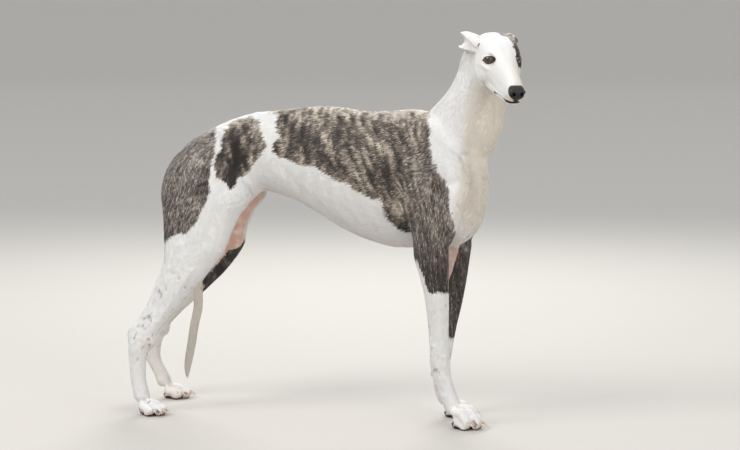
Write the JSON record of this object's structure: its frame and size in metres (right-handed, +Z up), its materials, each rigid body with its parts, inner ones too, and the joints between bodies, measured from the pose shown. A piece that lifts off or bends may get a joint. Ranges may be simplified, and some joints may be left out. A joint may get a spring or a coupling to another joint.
{
  "type": "standing greyhound figure",
  "caption": "Life-size standing greyhound with its head turned to one side, ears folded back and tail tucked between the hind legs.",
  "frame": {"origin": "on the floor, under the centre of the bounding box", "axes": "+X from the hindquarters to the chest, +Y to the dog's left, +Z up"},
  "size_m": [0.9818, 0.353, 0.8739],
  "materials": {
    "coat": "short fur, brindle patches on white",
    "eye": "wet, dark brown",
    "nose": "fine pebbled, slightly moist",
    "claw": "smooth horn"
  },
  "bodies": {
    "root": {"chest": "coat", "claw_fore_left_1": "claw", "claw_fore_left_2": "claw", "claw_fore_left_3": "claw", "claw_fore_left_4": "claw", "claw_fore_right_1": "claw", "claw_fore_right_2": "claw", "claw_fore_right_3": "claw", "claw_fore_right_4": "claw", "claw_hind_left_1": "claw", "claw_hind_left_2": "claw", "claw_hind_left_3": "claw", "claw_hind_left_4": "claw", "claw_hind_right_1": "claw", "claw_hind_right_2": "claw", "claw_hind_right_3": "claw", "claw_hind_right_4": "claw", "croup": "coat", "ear_left": "coat", "ear_right": "coat", "eye_left": "eye", "eye_right": "eye", "fore_pastern_left": "coat", "fore_pastern_right": "coat", "fore_paw_left": "coat", "fore_paw_right": "coat", "forearm_left": "coat", "forearm_right": "coat", "gaskin_left": "coat", "gaskin_right": "coat", "head": "coat", "hind_paw_left": "coat", "hind_paw_right": "coat", "hock_left": "coat", "hock_right": "coat", "loin": "coat", "lower_jaw": "coat", "neck": "coat", "nose": "nose", "shoulder_left": "coat", "shoulder_right": "coat", "tail_base": "coat", "tail_end": "coat", "thigh_left": "coat", "thigh_right": "coat", "upper_arm_left": "coat", "upper_arm_right": "coat"}
  },
  "joints": []
}
